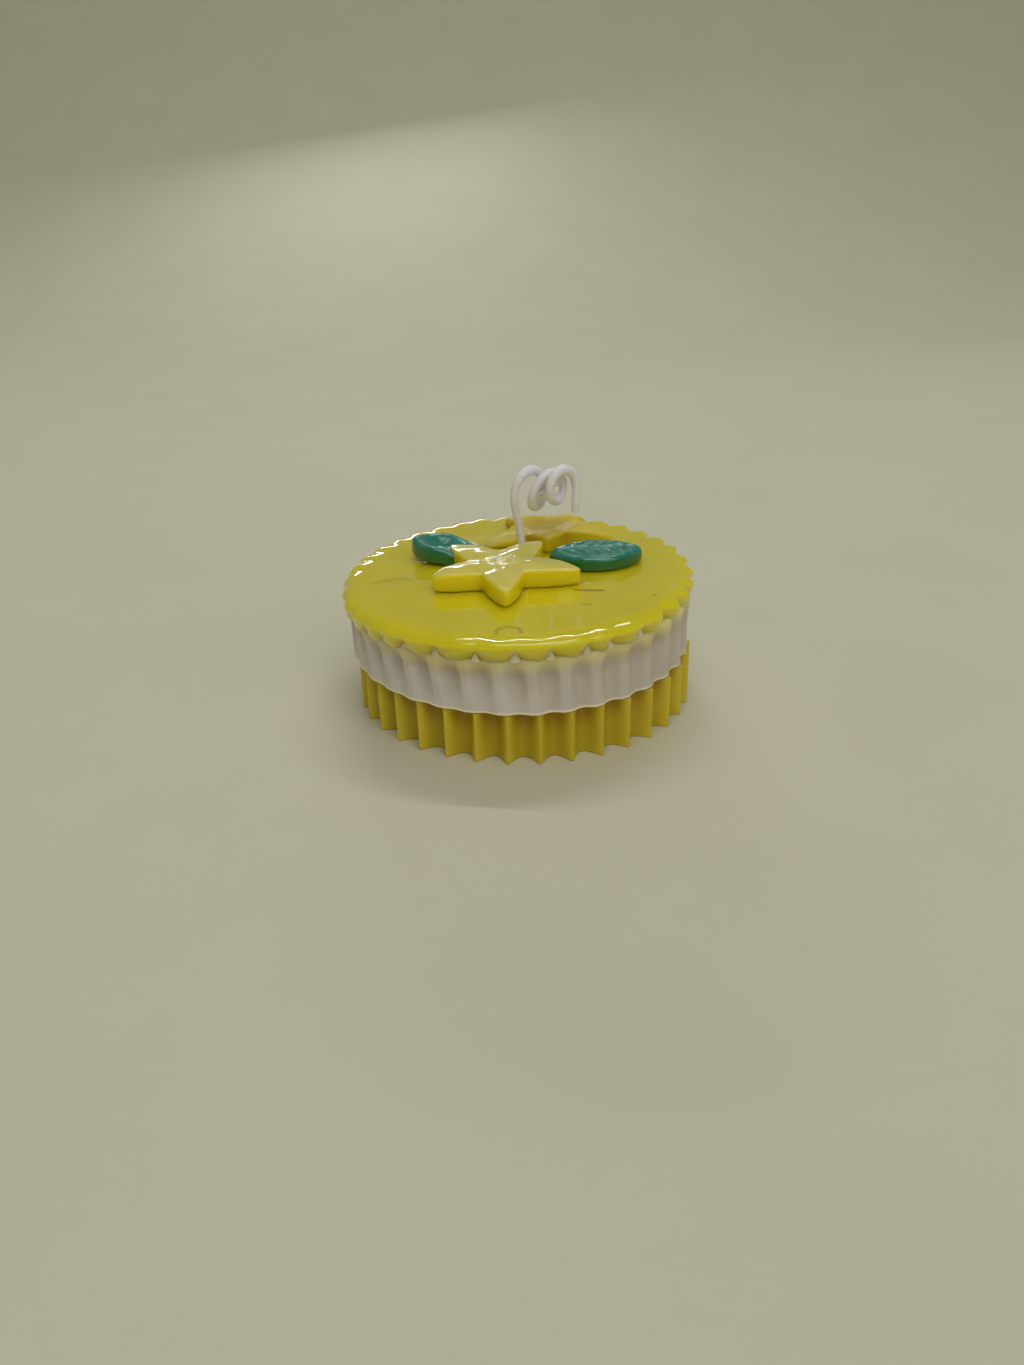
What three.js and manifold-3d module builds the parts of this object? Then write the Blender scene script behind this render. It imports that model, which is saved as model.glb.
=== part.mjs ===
import * as THREE from 'three';
import { mergeVertices } from 'three/addons/utils/BufferGeometryUtils.js';
import Module from 'manifold-3d';

// A low round candle of three fluted wax discs, with wax stars and leaves on top and a curled wick.
// Millimetres, +Z up, +Y to the back. The origin is the middle of the foot, on the surface it stands on.
// Angles are in degrees, and a turn is counted from +X.

// Clearances and cuts
const fitGap = 0.3; // between pieces that touch
const wickBoreGap = 0.35;
const cutOverrun = 2;

// Discs from one mould, each a little grown, shifted and twisted; height is on the candle's own axis
const ridgeCount = 36;
const firstRidgeTurn = 4.5;
const mouldRadius = 40;
const base = {
  height: 13.3, lowerGrowth: 0, upperGrowth: 0, fluteDepth: 3.2, landWidth: 1.4, edgeRound: 0,
  lowerLeft: 0, lowerBack: 0, upperLeft: 0, upperBack: 0, twist: 0, roundness: 0.6,
};
const middle = {
  height: 13.3, lowerGrowth: 0.1, upperGrowth: 0.6, fluteDepth: 1.8, landWidth: 1.8, edgeRound: 0.8,
  lowerLeft: 0.9, lowerBack: 0.1, upperLeft: 1, upperBack: 1.5, twist: -1.5, roundness: 1,
};
const gel = {
  height: 4.4, lowerGrowth: 1.1, upperGrowth: 1.3, fluteDepth: 2.3, landWidth: 1.6, edgeRound: 1.7,
  lowerLeft: 1.2, lowerBack: 1.1, upperLeft: 1, upperBack: -1.1, twist: 0, roundness: 1,
};

// How the tops of the discs slope
const lowerSeam = { height: base.height, rightRise: -0.3, backRise: 2.7 };
const upperSeam = { height: lowerSeam.height + middle.height, rightRise: 1, backRise: 4.4 };
const crown = { height: upperSeam.height + gel.height, rightRise: 0.9, backRise: 2.6 };

// Places of the points across one flute, and the rings of each disc:
// share of its height, share of the edge rounding taken off its radius, share of its flute depth
const fluteShares = [0.15, 0.38, 0.62, 0.85];
const baseRingShares = [[0, 0, 1], [1, 0, 1]];
const middleRingShares = [[0, 1, 0.45], [0.1, 0, 0.55], [0.9, 0, 1], [1, 1, 0.9]];
const gelRingShares = [[0, 0.2, 1], [0.12, 0, 1], [0.6, 0, 1], [0.88, 0.35, 0.9], [1, 1, 0.75]];

// Stars, cast in one mould and laid by hand
const star = {
  petals: 5, reach: 18, waist: 7.9, petalSwell: 0.6, thickness: 4.6, bossRadius: 2, bossRise: 0.7,
};
const frontStar = {
  right: -4.8, back: -7.6, turn: -86, tipFall: 0.8, petalReachShares: [1, 1.02, 1.03, 1.08, 0.94],
};
const rearStar = {
  right: 6.3, back: 20.5, turn: -90, tipFall: 3.2, petalReachShares: [1, 1, 1, 1, 1],
};
// The rear star's nearest petal stops short of the front star's petal that points at it
const petalClearance = 1.2;
const facingPetal = 2;
const flankSteps = 5;
const starProfileShares = [[0, 0], [0.5, 0], [1, 0], [1, 0.8], [0.94, 1], [0.6, 1], [0.3, 1], [0, 1]];
const cutterProfileShares = [[0, 0], [0.5, 0], [1, 0], [1, 1], [0.5, 1], [0, 1]];
const bossSides = 10;
const bossRings = 6;

// Leaves, pressed flat or cupped
const rightLeaf = {
  length: 22, width: 14, thickness: 2.6, crownRise: 1.2, edgeLift: 0, outerLift: 0,
  right: 17.4, back: 1.8, turn: 2,
};
const leftLeaf = {
  length: 18, width: 13, thickness: 2.2, crownRise: 0, edgeLift: 1.9, outerLift: 1.6,
  right: -18, back: 8.4, turn: -8,
};
const leafSteps = 24;
const leafSharpness = 1.35;
const leafProfileShares = [[0, 0], [0.55, 0], [1, 0], [1, 0.6], [0.93, 1], [0.6, 1], [0.3, 1], [0, 1]];

// Wick: its place, its curls about a nearly level axis, and its hanging end
const wickDiameter = 2;
const wickRight = -0.2;
const wickBack = 5.6;
const curlClearance = 7.45; // from the stars' tops up to the lowest curl
const wickCurl = { turn: -39, rise: 7.5, turns: 2.5, right: 2.2 };
// Curls at each top and bottom in turn, from half a turn before the first top: how far along the axis,
// radius, and how far the curl is lifted
const curlStations = [
  [-3, 4.1, 0], [0, 4.1, 0], [1.8, 4.1, 0], [6.2, 3.7, -0.3], [7.6, 3.2, 0.45], [9.3, 3.9, 0.2], [11.1, 4.1, 0],
];
const wickTail = 6.4;
const wickSides = 6;
const stepsPerCurl = 24;
const pointsPerCurl = 12;
const gapSamples = 600;
const boreSides = 12;

// Metal tab at the wick's foot
const tab = { radius: 6.5, thickness: 0.5, neckWall: 0.4, neckHeight: 4.5 };
const tabSides = 24;

const colours = {
  goldenWax: 0xe0c233, whiteWax: 0xf1ebe0, yellowGel: 0xe9d22e, paleYellowWax: 0xead96a,
  greenWax: 0x2f8a63, waxedCotton: 0xf0efec, tinnedSteel: 0xb9bcbf,
};

// Worked out from the sizes above
const { lerp } = THREE.MathUtils;
const degrees = Math.PI / 180;
const fullTurn = 2 * Math.PI;
const quarterTurn = 1 / 4; // in turns
const wickRadius = wickDiameter / 2;
const boreRadius = (wickRadius + wickBoreGap) / Math.cos(Math.PI / boreSides);
const neckInner = wickRadius + wickBoreGap;
const neckOuter = neckInner + tab.neckWall;
const facingTurn = frontStar.turn * degrees + facingPetal * fullTurn / star.petals;
const facingReach = star.reach * frontStar.petalReachShares[facingPetal];
const facingTipBack = frontStar.back + facingReach * Math.sin(facingTurn);
rearStar.petalReachShares[0] = (rearStar.back - facingTipBack - petalClearance) / star.reach;
const [, firstCurlRadius] = curlStations[0];
const starTop = seamHeight(crown, wickRight, wickBack) + fitGap + star.thickness;
const curlAxisHeight = starTop + curlClearance + wickRadius + firstCurlRadius;
const aboveAll = curlAxisHeight + 2 * firstCurlRadius;

const wasm = await Module();
wasm.setup();

// A closed mesh becomes a solid, and a solid a mesh again
function toSolid(geometry) {
  const bare = geometry.clone();
  bare.deleteAttribute('normal');
  bare.deleteAttribute('uv');
  const merged = mergeVertices(bare);
  const index = Array.from(merged.index.array);
  const kept = [];
  for (let i = 0; i < index.length; i += 3) {
    const [a, b, c] = index.slice(i, i + 3);
    if (a !== b && b !== c && c !== a) kept.push(a, b, c);
  }
  return new wasm.Manifold(new wasm.Mesh({
    numProp: 3,
    vertProperties: new Float32Array(merged.attributes.position.array),
    triVerts: new Uint32Array(kept),
  }));
}

function toGeometry(solid) {
  const mesh = solid.getMesh();
  const geometry = new THREE.BufferGeometry();
  geometry.setAttribute('position', new THREE.BufferAttribute(new Float32Array(mesh.vertProperties), 3));
  geometry.setIndex(new THREE.BufferAttribute(new Uint32Array(mesh.triVerts), 1));
  geometry.computeVertexNormals();
  return geometry;
}

// Moves every vertex by a function that changes the point it is given
function reshape(geometry, move) {
  const position = geometry.attributes.position;
  const point = new THREE.Vector3();
  for (let i = 0; i < position.count; i += 1) {
    point.fromBufferAttribute(position, i);
    move(point);
    position.setXYZ(i, point.x, point.y, point.z);
  }
  return geometry;
}

function turnedSolid(profile, sides) {
  const geometry = new THREE.LatheGeometry(profile.map(([r, z]) => new THREE.Vector2(r, z)), sides);
  geometry.rotateX(Math.PI / 2);
  geometry.translate(wickRight, wickBack, 0);
  return toSolid(geometry);
}

function seamHeight(seam, x, y) {
  return seam.height + x * Math.tan(seam.rightRise * degrees) + y * Math.tan(seam.backRise * degrees);
}

function crownHeight(x, y) {
  return seamHeight(crown, x, y);
}

// Round outline with hollow flutes between narrow ridges
function flutedOutline(disc) {
  const radius = mouldRadius + disc.lowerGrowth;
  const pitch = fullTurn / ridgeCount;
  const landAngle = disc.landWidth / radius;
  const points = [];
  const put = (angle, r) => points.push(new THREE.Vector2(r * Math.cos(angle), r * Math.sin(angle)));
  for (let ridge = 0; ridge < ridgeCount; ridge += 1) {
    const start = firstRidgeTurn * degrees + ridge * pitch - landAngle / 2;
    put(start, radius);
    put(start + landAngle, radius);
    for (const share of fluteShares) {
      const depth = disc.fluteDepth * Math.sin(Math.PI * share) ** disc.roundness;
      put(start + landAngle + share * (pitch - landAngle), radius - depth);
    }
  }
  return new THREE.Shape(points);
}

// Disc between two seams, its rings drawn in at the edges, and shifted and twisted on their way up
function flutedDisc(disc, ringShares, below, above) {
  const steps = ringShares.length - 1;
  const geometry = new THREE.ExtrudeGeometry(flutedOutline(disc), { depth: steps, steps, bevelEnabled: false });
  return toSolid(reshape(geometry, (p) => {
    const [heightShare, roundShare, depthShare] = ringShares[Math.round(p.z)];
    const across = new THREE.Vector2(p.x, p.y);
    const depth = (mouldRadius + disc.lowerGrowth - across.length()) * depthShare;
    const growth = lerp(disc.lowerGrowth, disc.upperGrowth, heightShare);
    const ridgeRadius = mouldRadius + growth - disc.edgeRound * roundShare;
    across.setLength(ridgeRadius - depth).rotateAround(new THREE.Vector2(), disc.twist * degrees * heightShare);
    p.x = across.x - lerp(disc.lowerLeft, disc.upperLeft, heightShare);
    p.y = across.y + lerp(disc.lowerBack, disc.upperBack, heightShare);
    p.z = lerp(below(p.x, p.y), above(p.x, p.y), heightShare);
  }));
}

function withWickBore(solid) {
  return solid.subtract(turnedSolid(
    [[0, -cutOverrun], [boreRadius, -cutOverrun], [boreRadius, aboveAll], [0, aboveAll]], boreSides));
}

// Base: the wick tab's recess and neck bore are cut into its underside
function baseTier() {
  const disc = flutedDisc(base, baseRingShares, () => 0, (x, y) => seamHeight(lowerSeam, x, y) - fitGap);
  const recessRadius = (tab.radius + fitGap) / Math.cos(Math.PI / tabSides);
  const neckBore = (neckOuter + fitGap) / Math.cos(Math.PI / tabSides);
  const recessTop = tab.thickness + fitGap;
  const neckTop = tab.neckHeight + fitGap;
  const tabSpace = turnedSolid([
    [0, -cutOverrun], [recessRadius, -cutOverrun], [recessRadius, recessTop],
    [neckBore, recessTop], [neckBore, neckTop], [0, neckTop],
  ], tabSides);
  return withWickBore(disc.subtract(tabSpace));
}

function middleTier() {
  const below = (x, y) => seamHeight(lowerSeam, x, y);
  const above = (x, y) => seamHeight(upperSeam, x, y) - fitGap;
  return withWickBore(flutedDisc(middle, middleRingShares, below, above));
}

function topTier() {
  return withWickBore(flutedDisc(gel, gelRingShares, (x, y) => seamHeight(upperSeam, x, y), crownHeight));
}

// Closed shell from a unit profile turned about its axis, whose rim follows an outline
function outlinedShell(outline, segments, profileShares) {
  const points = profileShares.map(([share, level]) => new THREE.Vector2(share, level));
  return reshape(new THREE.LatheGeometry(points, segments), (p) => {
    const share = Math.hypot(p.x, p.z);
    const step = Math.round(Math.atan2(p.x, p.z) / fullTurn * segments + segments) % segments;
    const rim = outline(step / segments).multiplyScalar(share);
    p.set(rim.x, rim.y, p.y);
  });
}

function laid(shell, at) {
  shell.rotateZ(at.turn * degrees);
  shell.translate(at.right, at.back, 0);
  return shell;
}

// Rim of a star, from tip to waist with swelled flanks
function starRim(at, grow) {
  return (turnShare) => {
    const along = turnShare * star.petals;
    const petal = Math.round(along) % star.petals;
    const offTip = (along - Math.round(along)) * 2;
    const share = Math.abs(offTip);
    const axis = petal * fullTurn / star.petals;
    const reach = star.reach * at.petalReachShares[petal] + 2 * grow;
    const waistAngle = axis + Math.sign(offTip) * Math.PI / star.petals;
    const tip = new THREE.Vector2(Math.cos(axis), Math.sin(axis)).multiplyScalar(reach);
    const waist = new THREE.Vector2(Math.cos(waistAngle), Math.sin(waistAngle))
      .multiplyScalar(star.waist + grow);
    const sideways = Math.sign(offTip) * (star.petalSwell + grow / 2) * Math.sin(Math.PI * share);
    const swell = new THREE.Vector2(-Math.sin(axis), Math.cos(axis)).multiplyScalar(sideways);
    return tip.lerp(waist, share).add(swell);
  };
}

function starSolid(at) {
  const segments = star.petals * 2 * flankSteps;
  const shell = reshape(laid(outlinedShell(starRim(at, 0), segments, starProfileShares), at), (p) => {
    const out = Math.hypot(p.x - at.right, p.y - at.back) / star.reach;
    const fall = at.tipFall * Math.min(out, 1) ** 2;
    p.z = crownHeight(p.x, p.y) + fitGap + p.z * (star.thickness - fall);
  });
  const top = crownHeight(at.right, at.back) + fitGap + star.thickness;
  const boss = new THREE.SphereGeometry(star.bossRadius, bossSides, bossRings);
  boss.translate(at.right, at.back, top + star.bossRise - star.bossRadius);
  return withWickBore(toSolid(shell).add(toSolid(boss)));
}

// The space that a star takes, with the fitting gap round it
function starSpace(at) {
  const segments = star.petals * 2 * flankSteps;
  const shell = laid(outlinedShell(starRim(at, fitGap), segments, cutterProfileShares), at);
  return toSolid(reshape(shell, (p) => {
    p.z = crownHeight(p.x, p.y) + p.z * (star.thickness + cutOverrun);
  }));
}

// Leaf: a lens with pointed ends, crowned or with its edge and outer end lifted, cut back at the stars
function leafSolid(leaf) {
  const rim = (turnShare) => {
    const angle = turnShare * fullTurn;
    const across = Math.sign(Math.sin(angle)) * Math.abs(Math.sin(angle)) ** leafSharpness;
    return new THREE.Vector2(leaf.length / 2 * Math.cos(angle), leaf.width / 2 * across);
  };
  const flat = reshape(outlinedShell(rim, leafSteps, leafProfileShares), (p) => {
    const out = Math.min(Math.hypot(p.x / leaf.length, p.y / leaf.width) * 2, 1) ** 2;
    const outer = Math.max(-2 * p.x / leaf.length, 0) ** 2;
    p.z = leaf.edgeLift * out + leaf.outerLift * outer + p.z * (leaf.thickness + leaf.crownRise * (1 - out));
  });
  const shell = reshape(laid(flat, leaf), (p) => {
    p.z += crownHeight(p.x, p.y) + fitGap;
  });
  return toSolid(shell).subtract(starSpace(frontStar)).subtract(starSpace(rearStar));
}

// Wick's own line: up through the discs, a leaning stem, the curls, and the hanging end
function wickLine() {
  const foot = tab.thickness + fitGap;
  const top = crownHeight(wickRight, wickBack);
  const stemHeights = [foot, foot + wickDiameter, (foot + top) / 2, top, top + fitGap + star.thickness];
  const points = stemHeights.map((z) => new THREE.Vector3(wickRight, wickBack, z));
  const turn = wickCurl.turn * degrees;
  const rise = wickCurl.rise * degrees;
  const level = new THREE.Vector3(Math.cos(turn), Math.sin(turn), 0);
  const along = level.clone().multiplyScalar(Math.cos(rise)).setZ(Math.sin(rise));
  const side = new THREE.Vector3(-level.y, level.x, 0);
  const axis = new THREE.Vector3(wickCurl.right, wickBack, curlAxisHeight);
  const stationPoints = curlStations.map((station) => new THREE.Vector3(...station));
  const stations = new THREE.CatmullRomCurve3(stationPoints, false, 'catmullrom');
  const last = new THREE.Vector3();
  for (let i = 0; i <= wickCurl.turns * pointsPerCurl; i += 1) {
    const turned = i / pointsPerCurl - quarterTurn;
    const { x: advance, y: radius, z: lift } = stations.getPoint((2 * turned + 1) / (curlStations.length - 1));
    last.copy(axis).addScaledVector(along, advance).addScaledVector(side, radius * Math.sin(turned * fullTurn));
    last.z += lift + radius * Math.cos(turned * fullTurn);
    points.push(last.clone());
  }
  points.push(last.clone().setZ(last.z - wickTail + wickDiameter), last.clone().setZ(last.z - wickTail));
  return new THREE.CatmullRomCurve3(points, false, 'centripetal');
}

// Least gap between two stretches of the wick that lie over two circumferences apart along it
function leastGap(line) {
  const points = line.getSpacedPoints(gapSamples);
  const apart = Math.ceil(fullTurn * wickDiameter / line.getLength() * gapSamples);
  let least = Infinity;
  for (let i = 0; i < points.length; i += 1) {
    for (let j = i + apart; j < points.length; j += 1) {
      least = Math.min(least, points[i].distanceTo(points[j]));
    }
  }
  return least - wickDiameter;
}

function wickSolid() {
  const line = wickLine();
  const steps = Math.round(line.getLength() / (fullTurn * firstCurlRadius) * stepsPerCurl);
  const circle = new THREE.Shape().absarc(0, 0, wickRadius, 0, fullTurn);
  const section = new THREE.Shape(circle.getSpacedPoints(wickSides).slice(0, wickSides));
  const length = line.getLength().toFixed(1);
  console.log(`wick: ${length} mm long, least gap to itself ${leastGap(line).toFixed(2)} mm`);
  return toSolid(new THREE.ExtrudeGeometry(section, { steps, extrudePath: line, bevelEnabled: false }));
}

// Tab: a thin disc, flush with the foot, with an upright neck that grips the wick
function tabSolid() {
  return turnedSolid([
    [0, 0], [tab.radius, 0], [tab.radius, tab.thickness], [neckOuter, tab.thickness],
    [neckOuter, tab.neckHeight], [neckInner, tab.neckHeight], [neckInner, tab.thickness], [0, tab.thickness],
  ], tabSides);
}

function piece(name, solid, color, roughness, metalness = 0) {
  const finish = new THREE.MeshStandardMaterial({ color, roughness, metalness });
  const mesh = new THREE.Mesh(toGeometry(solid), finish);
  mesh.name = name;
  return mesh;
}

const discs = new THREE.Group();
discs.add(
  piece('base_tier', baseTier(), colours.goldenWax, 0.55),
  piece('middle_tier', middleTier(), colours.whiteWax, 0.5),
  piece('top_tier', topTier(), colours.yellowGel, 0.12),
);

const decorations = new THREE.Group();
decorations.add(
  piece('front_star_flower', starSolid(frontStar), colours.paleYellowWax, 0.25),
  piece('rear_star_flower', starSolid(rearStar), colours.paleYellowWax, 0.25),
  piece('right_leaf', leafSolid(rightLeaf), colours.greenWax, 0.3),
  piece('left_leaf', leafSolid(leftLeaf), colours.greenWax, 0.3),
);

const wickAndTab = new THREE.Group();
wickAndTab.add(
  piece('wick', wickSolid(), colours.waxedCotton, 0.6),
  piece('wick_tab', tabSolid(), colours.tinnedSteel, 0.35, 1),
);

const candle = new THREE.Group();
candle.add(discs, decorations, wickAndTab);

export default candle;
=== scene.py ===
"""Star candle: three fluted wax discs, two wax stars, two leaves and a curled wick."""
from math import atan2, cos, degrees, exp, hypot, pi, radians, sin, tan

import bmesh
import bpy
from mathutils import Matrix, Vector, noise


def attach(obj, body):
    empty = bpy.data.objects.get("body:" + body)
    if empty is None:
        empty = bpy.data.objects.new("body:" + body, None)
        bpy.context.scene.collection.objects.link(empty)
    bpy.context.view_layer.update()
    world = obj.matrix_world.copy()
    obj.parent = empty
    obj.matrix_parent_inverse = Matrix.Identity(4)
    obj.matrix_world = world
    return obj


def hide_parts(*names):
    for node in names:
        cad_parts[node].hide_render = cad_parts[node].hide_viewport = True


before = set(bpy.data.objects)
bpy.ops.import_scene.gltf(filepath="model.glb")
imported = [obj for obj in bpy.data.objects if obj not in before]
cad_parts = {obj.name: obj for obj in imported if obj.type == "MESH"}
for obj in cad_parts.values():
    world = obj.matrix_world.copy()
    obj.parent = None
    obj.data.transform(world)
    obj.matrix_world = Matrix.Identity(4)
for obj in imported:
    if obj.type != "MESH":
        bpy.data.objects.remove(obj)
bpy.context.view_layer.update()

bl_info = {
    "name": "Star candle",
    "version": (1, 0, 0),
    "blender": (4, 5, 0),
    "location": "View3D > Sidebar > Candle",
    "description": "Builds a low fluted candle with wax stars, leaves and a curled wick",
    "category": "Object",
}

MM = 0.001
BODY = "root"

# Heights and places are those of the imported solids, in millimetres, with +Z up and +Y to the back.
# Turns are in degrees from +X. A plane is a height at the axis, a rise to the right and a rise to the back.
SEAM_FOOT = (0.0, 0.0, 0.0)
SEAM_LOWER = (13.3, tan(radians(-0.3)), tan(radians(2.7)))
SEAM_UPPER = (26.6, tan(radians(1.0)), tan(radians(4.4)))
CROWN = (31.0, tan(radians(0.9)), tan(radians(2.6)))

RIDGES = 36
FIRST_RIDGE_TURN = 4.5
POINTS_PER_RIDGE = 16
CORE_RADIUS = 20.0
SMOOTH_RADIUS = 30.0
FIT_GAP = 0.3
WICK_PLACE = (-0.2, 5.6)

CAMERA_PLACE = (0.0, -0.223466, 0.103597)
CAMERA_YAW = -0.01376
CAMERA_PITCH = 0.43030
CAMERA_ROLL = -0.02340
CAMERA_LENS = 34.79


def linear(hex_colour):
    """Turns an sRGB hex colour into the linear values that shaders work in."""
    channels = [int(hex_colour[i:i + 2], 16) / 255 for i in (1, 3, 5)]
    return [c / 12.92 if c <= 0.04045 else ((c + 0.055) / 1.055) ** 2.4 for c in channels]


def lerp(a, b, share):
    return a + (b - a) * share


def smooth(low, high, value):
    """0 at the low end, 1 at the high end and an even curve between, also where the ends are swapped."""
    share = min(max((value - low) / (high - low), 0.0), 1.0)
    return share * share * (3 - 2 * share)


def plane_height(plane, x, y):
    return plane[0] + x * plane[1] + y * plane[2]


def wander(x, y, z, size, seed=0.0):
    """Smooth random value from about -1 to 1, for unevenness of a given size in millimetres."""
    return noise.noise(Vector((x / size + seed, y / size - seed, z / size + 2 * seed)))


# Sizes and colours that a user may change


def length_property(name, description, default, least):
    """A length that is given in millimetres and shown in the scene's units."""
    return bpy.props.FloatProperty(
        name=name, description=description, default=default * MM, min=least * MM,
        unit="LENGTH", subtype="DISTANCE")


def colour_property(name, description, hex_colour):
    return bpy.props.FloatVectorProperty(
        name=name, description=description, default=linear(hex_colour), size=3, min=0, max=1, subtype="COLOR")


class CandleSizes(bpy.types.PropertyGroup):
    radius: length_property("Radius", "Radius of the base over its ridges", 40, 10)
    wick_diameter: length_property("Wick diameter", "Thickness of the waxed cotton wick", 2, 1)
    star_thickness: length_property("Star thickness", "Height of a star's walls", 4.6, 1)
    star_reach: length_property("Star reach", "From the middle of a star to the tip of a petal", 18, 5)


class CandleColours(bpy.types.PropertyGroup):
    base: colour_property("Base wax", "Opaque golden wax of the lowest disc", "#dac430")
    white: colour_property("White wax", "White wax of the middle disc", "#dcd6cf")
    gel: colour_property("Gel wax", "Clear yellow gel wax of the top disc", "#dfd11f")
    star: colour_property("Star wax", "Pale yellow wax of the stars", "#e4d76c")
    leaf: colour_property("Leaf wax", "Green wax of the leaves", "#1c8070")
    wick: colour_property("Wick", "Bleached cotton dipped in wax", "#f8f4ff")
    floor: colour_property("Floor", "Pale floor and backdrop", "#e0decc")


# Modelling by hand


def take(*pieces):
    """Selects these pieces alone, or nothing, and makes the first the active object."""
    bpy.ops.object.select_all(action="DESELECT")
    for piece in reversed(pieces):
        piece.select_set(True)
        bpy.context.view_layer.objects.active = piece


def name_piece(piece, name):
    piece.name = name
    piece.data.name = name


def apply_place():
    """Moves the selected pieces' place, turn and scale into their meshes."""
    bpy.ops.object.transform_apply(location=True, rotation=True, scale=True)


def edit_all():
    """Goes into edit mode with the whole mesh selected."""
    bpy.ops.object.mode_set(mode="EDIT")
    bpy.ops.mesh.select_all(action="SELECT")


def start_ring(name, points, radius, height, centre=(0.0, 0.0), turn=0.0):
    """Adds a filled ring of points, in millimetres."""
    take()
    bpy.ops.mesh.primitive_circle_add(
        vertices=points, radius=radius * MM, fill_type="NGON",
        location=(centre[0] * MM, centre[1] * MM, height * MM), rotation=(0, 0, radians(turn)))
    piece = bpy.context.object
    name_piece(piece, name)
    apply_place()
    return piece


def draw(lift, scale=1.0, shift=(0.0, 0.0), centre=(0.0, 0.0, 0.0)):
    """Extrudes the selected cap by a lift in millimetres, then scales and shifts it."""
    bpy.ops.mesh.extrude_region_move(TRANSFORM_OT_translate={"value": (0, 0, lift * MM)})
    if scale != 1.0:
        bpy.ops.transform.resize(value=(scale, scale, 1), center_override=[c * MM for c in centre])
    if shift != (0.0, 0.0):
        bpy.ops.transform.translate(value=(shift[0] * MM, shift[1] * MM, 0))


def draw_casting(foot, foot_lift, rings, top_shares):
    """Draws a casting up from its outline.

    The foot is drawn in to a share of the outline and comes out over its lift. Each ring above has a lift
    and a scale, and the top closes in to shares of the outline.
    """
    edit_all()
    bpy.ops.transform.resize(value=(foot, foot, 1), center_override=(0, 0, 0))
    draw(foot_lift, 1 / foot)
    last = 1.0
    for lift, scale in rings:
        draw(lift, scale)
        last *= scale
    for share in top_shares:
        draw(0.0, share / last)
        last = share


def close_up():
    """Merges doubles and turns all faces outwards, and leaves edit mode."""
    bpy.ops.mesh.select_all(action="SELECT")
    bpy.ops.mesh.remove_doubles(threshold=0.001 * MM)
    bpy.ops.mesh.normals_make_consistent(inside=False)
    bpy.ops.object.mode_set(mode="OBJECT")


def apply_with(piece, modifier, shares):
    """Paints the shares, one for each vertex, and applies a modifier that acts by them."""
    group = piece.vertex_groups.new(name="share")
    for index, share in enumerate(shares):
        if share > 0:
            group.add([index], min(share, 1.0), "REPLACE")
    modifier.vertex_group = group.name
    bpy.ops.object.modifier_apply(modifier=modifier.name)
    piece.vertex_groups.clear()


def push(piece, direction, amount):
    """Moves the surface along an axis or its normal by a function of the place, all in millimetres."""
    take(piece)
    amounts = [amount(*(v.co / MM)) for v in piece.data.vertices]
    for sign in (1, -1):
        reach = max(sign * a for a in amounts)
        if reach <= 0:
            continue
        modifier = piece.modifiers.new("push", "DISPLACE")
        modifier.direction = direction
        modifier.mid_level = 0
        modifier.strength = sign * reach * MM
        apply_with(piece, modifier, [sign * a / reach for a in amounts])


def draw_in(piece, target, depth):
    """Draws the surface in towards a cylinder inside it, by a function of the place, all in millimetres."""
    take(piece)
    modifier = piece.modifiers.new("draw in", "CAST")
    modifier.cast_type = "CYLINDER"
    modifier.factor = 1
    modifier.use_radius_as_size = False
    modifier.radius = 0
    modifier.size = target * MM
    places = [v.co / MM for v in piece.data.vertices]
    depths = [depth(*place) for place in places]
    apply_with(piece, modifier, [d and d / (hypot(*p.xy) - target) for d, p in zip(depths, places)])


def refine(piece, levels):
    """Subdivides a piece smoothly."""
    take(piece)
    modifier = piece.modifiers.new("refine", "SUBSURF")
    modifier.levels = levels
    modifier.render_levels = levels
    bpy.ops.object.modifier_apply(modifier=modifier.name)


def place(piece, laid):
    """Turns a piece and moves it to where it is laid."""
    take(piece)
    piece.rotation_euler = (0, 0, radians(laid["turn"]))
    piece.location = (laid["right"] * MM, laid["back"] * MM, 0)
    apply_place()


def paint(piece, attribute, amount):
    """Stores a function of the place, in millimetres, at each point of a piece for its material to read."""
    values = [amount(*(v.co / MM)) for v in piece.data.vertices]
    piece.data.attributes.new(attribute, "FLOAT", "POINT").data.foreach_set("value", values)


def dress(piece, material, node):
    """Gives a piece its material, body and slot, and hides the solid that it stands for."""
    piece.data.materials.clear()
    piece.data.materials.append(material)
    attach(piece, BODY)
    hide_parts(node)


def finish_piece(piece, material, node):
    """Shades a piece smooth except on its sharp edges, and dresses it."""
    take(piece)
    bpy.ops.object.shade_smooth_by_angle(angle=radians(50))
    dress(piece, material, node)


# Materials: patterns lie on Object coordinates, at real sizes in millimetres. The grain of cast wax, about a
# tenth of a millimetre, is too fine to show, so it is drawn about a millimetre wide.

COLOUR = {"data_type": "RGBA"}
SOFT = {"interpolation_type": "SMOOTHSTEP"}


def rgba(colour):
    return (*(linear(colour) if isinstance(colour, str) else colour), 1.0)


def socket_of(value):
    """The socket on which a node gives its result. Any other value stays as it is."""
    if isinstance(value, bpy.types.Node):
        return next(socket for socket in value.outputs if socket.enabled)
    return value


def add(tree, kind, inputs=(), **settings):
    """Adds a node with its settings, and sets its inputs or links them to a node or a socket."""
    node = tree.nodes.new("ShaderNode" + kind)
    for name, value in settings.items():
        setattr(node, name, value)
    for key, value in dict(inputs).items():
        value = socket_of(value)
        if isinstance(value, bpy.types.NodeSocket):
            tree.links.new(value, node.inputs[key])
        else:
            node.inputs[key].default_value = value
    return node


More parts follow.
